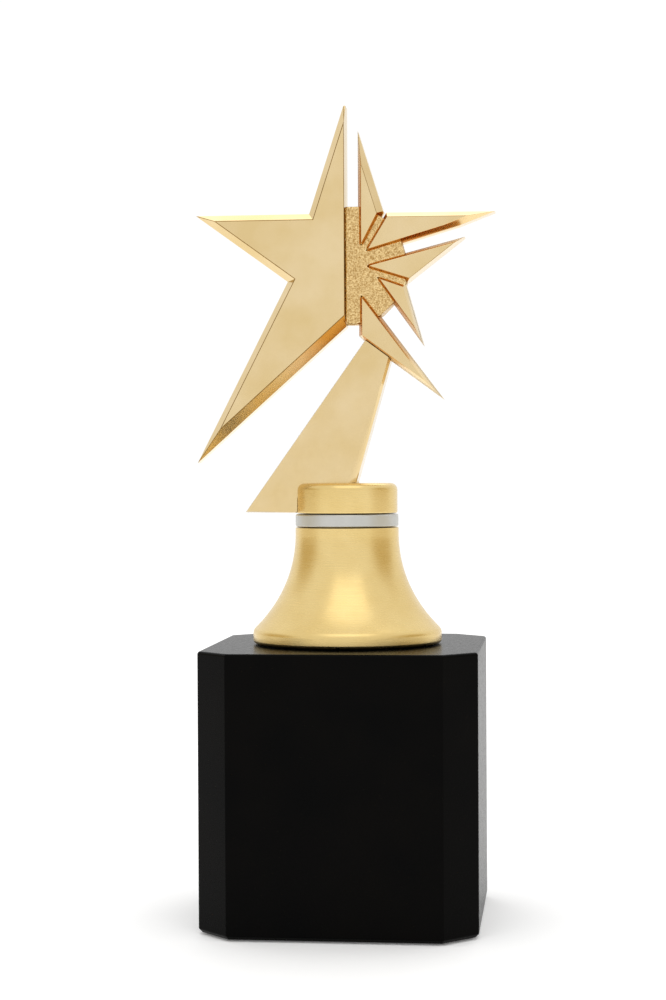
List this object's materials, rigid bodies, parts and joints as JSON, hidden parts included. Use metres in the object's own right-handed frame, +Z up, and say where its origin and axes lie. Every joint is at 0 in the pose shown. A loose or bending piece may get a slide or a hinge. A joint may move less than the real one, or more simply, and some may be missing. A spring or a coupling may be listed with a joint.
{
  "type": "star trophy",
  "caption": "Presentation trophy: a part polished, part broken-out gold star on a leaning blade, over a bell riser and a black block.",
  "frame": {"origin": "centre of the footprint, on the underside of the felt pad", "axes": "+Z up through the stud, +X to the right of the front view, +Y towards the back"},
  "size_m": [0.1, 0.09, 0.27],
  "materials": {
    "polished_gold": "polished, gold plated zinc casting",
    "stippled_gold": "stippled, gold plated zinc casting",
    "satin_gold": "satin, brushed and gold plated",
    "satin_silver": "satin",
    "black_lacquer": "satin black lacquer over fibreboard",
    "zinc_plate": "bright zinc plated",
    "black_felt": "felt"
  },
  "bodies": {
    "root": {"half_star": "polished_gold", "core_plate": "stippled_gold", "shard_top": "polished_gold", "shard_right_upper": "polished_gold", "shard_right_lower": "polished_gold", "shard_low_small": "polished_gold", "shard_low_long": "polished_gold", "leg_blade": "polished_gold", "cap": "satin_gold", "silver_collar": "satin_silver", "bell_riser": "satin_gold", "plinth": "black_lacquer", "felt_pad": "black_felt", "stud": "zinc_plate", "flat_washer": "zinc_plate", "spring_washer": "zinc_plate", "hex_nut": "zinc_plate", "screw_top": "zinc_plate", "screw_right_upper": "zinc_plate", "screw_right_lower": "zinc_plate", "screw_low_small": "zinc_plate", "screw_low_long": "zinc_plate", "screw_half_star_1": "zinc_plate", "screw_half_star_2": "zinc_plate", "screw_tongue_1": "zinc_plate", "screw_tongue_2": "zinc_plate", "screw_foot_1": "zinc_plate", "screw_foot_2": "zinc_plate"}
  },
  "joints": []
}
